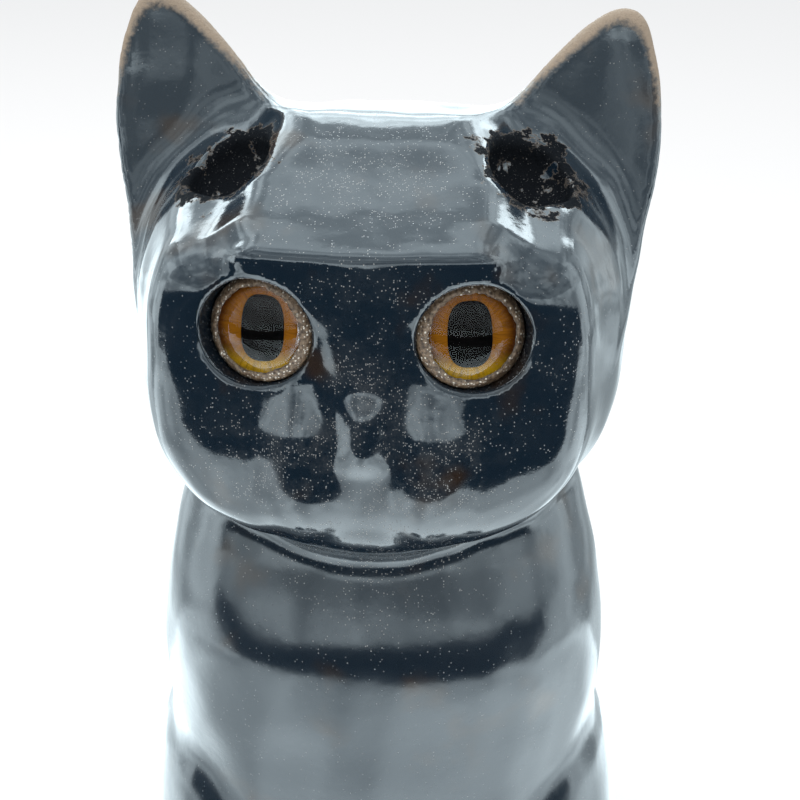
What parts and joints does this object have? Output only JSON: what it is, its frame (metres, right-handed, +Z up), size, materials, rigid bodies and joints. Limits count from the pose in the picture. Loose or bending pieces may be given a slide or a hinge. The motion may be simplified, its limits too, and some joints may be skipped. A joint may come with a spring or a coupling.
{
  "type": "ceramic cat figurine",
  "caption": "Seated cat figurine: a hollow, glossy black-glazed ceramic shell with round amber glass eyes bedded in its sockets.",
  "frame": {"origin": "centre of the footprint, on the surface that the foot rim rests on", "axes": "+Z up, the cat looks along -Y, and +X is its own left"},
  "size_m": [0.099, 0.0975, 0.2074],
  "materials": {
    "black_glaze": "high gloss, blue-black, breaking to tan clay on the ear edges",
    "eye_glass": "clear, polished",
    "amber_enamel": "amber, fired on the back of the glass",
    "black_enamel": "black, fired on the back of the glass",
    "sealing_coat": "dark brown lacquer",
    "eye_cement": "grey-tan, speckled with fine bubbles"
  },
  "bodies": {
    "root": {"ceramic_shell": "black_glaze", "glass_eye_left": "eye_glass", "iris_left": "amber_enamel", "pupil_left": "black_enamel", "sealing_coat_left": "sealing_coat", "eye_cement_left": "eye_cement", "glass_eye_right": "eye_glass", "iris_right": "amber_enamel", "pupil_right": "black_enamel", "sealing_coat_right": "sealing_coat", "eye_cement_right": "eye_cement"}
  },
  "joints": []
}
